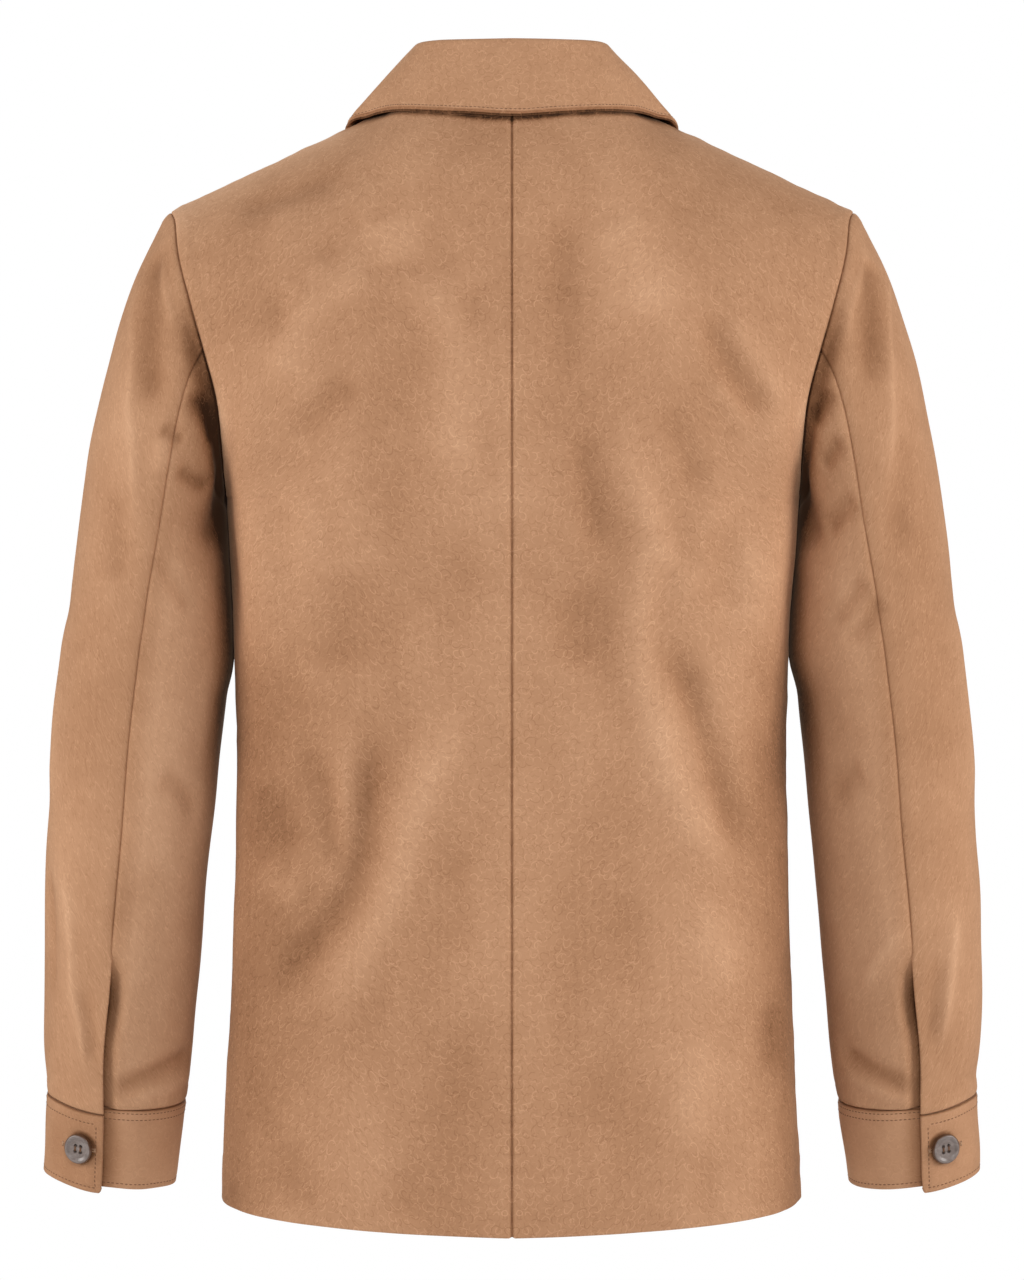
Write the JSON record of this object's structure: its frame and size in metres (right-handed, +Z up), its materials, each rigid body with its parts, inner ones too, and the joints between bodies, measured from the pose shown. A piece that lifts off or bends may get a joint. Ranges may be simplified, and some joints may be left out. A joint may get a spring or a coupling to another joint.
{
  "type": "suede shirt jacket",
  "caption": "Suede shirt jacket with set-in two-piece sleeves, buttoned cuffs, turned-down collar and closed button front, held hollow in the shape of a worn garment.",
  "frame": {"origin": "on the centre plane, at the height where the shoulder seams meet the collar, where the wearer's neck and shoulders carry the jacket", "axes": "+X to the wearer's left, -Y to the wearer's front, +Z up"},
  "size_m": [0.6316, 0.2587, 0.7718],
  "materials": {
    "suede": "brushed suede nap, matt",
    "suede_trim": "brushed suede nap, matt, on the collar and cuffs",
    "horn_button": "polished grey-brown horn"
  },
  "bodies": {
    "root": {"back_left": "suede", "back_right": "suede", "front_left": "suede", "front_right": "suede", "sleeve_left_upper": "suede", "sleeve_left_under": "suede", "sleeve_right_upper": "suede", "sleeve_right_under": "suede", "cuff_left": "suede_trim", "cuff_right": "suede_trim", "collar_stand": "suede_trim", "collar_fall": "suede_trim", "button_neck": "horn_button", "button_front_1": "horn_button", "button_front_2": "horn_button", "button_front_3": "horn_button", "button_front_4": "horn_button", "button_front_5": "horn_button", "button_front_6": "horn_button", "button_cuff_left": "horn_button", "button_cuff_right": "horn_button"}
  },
  "joints": []
}
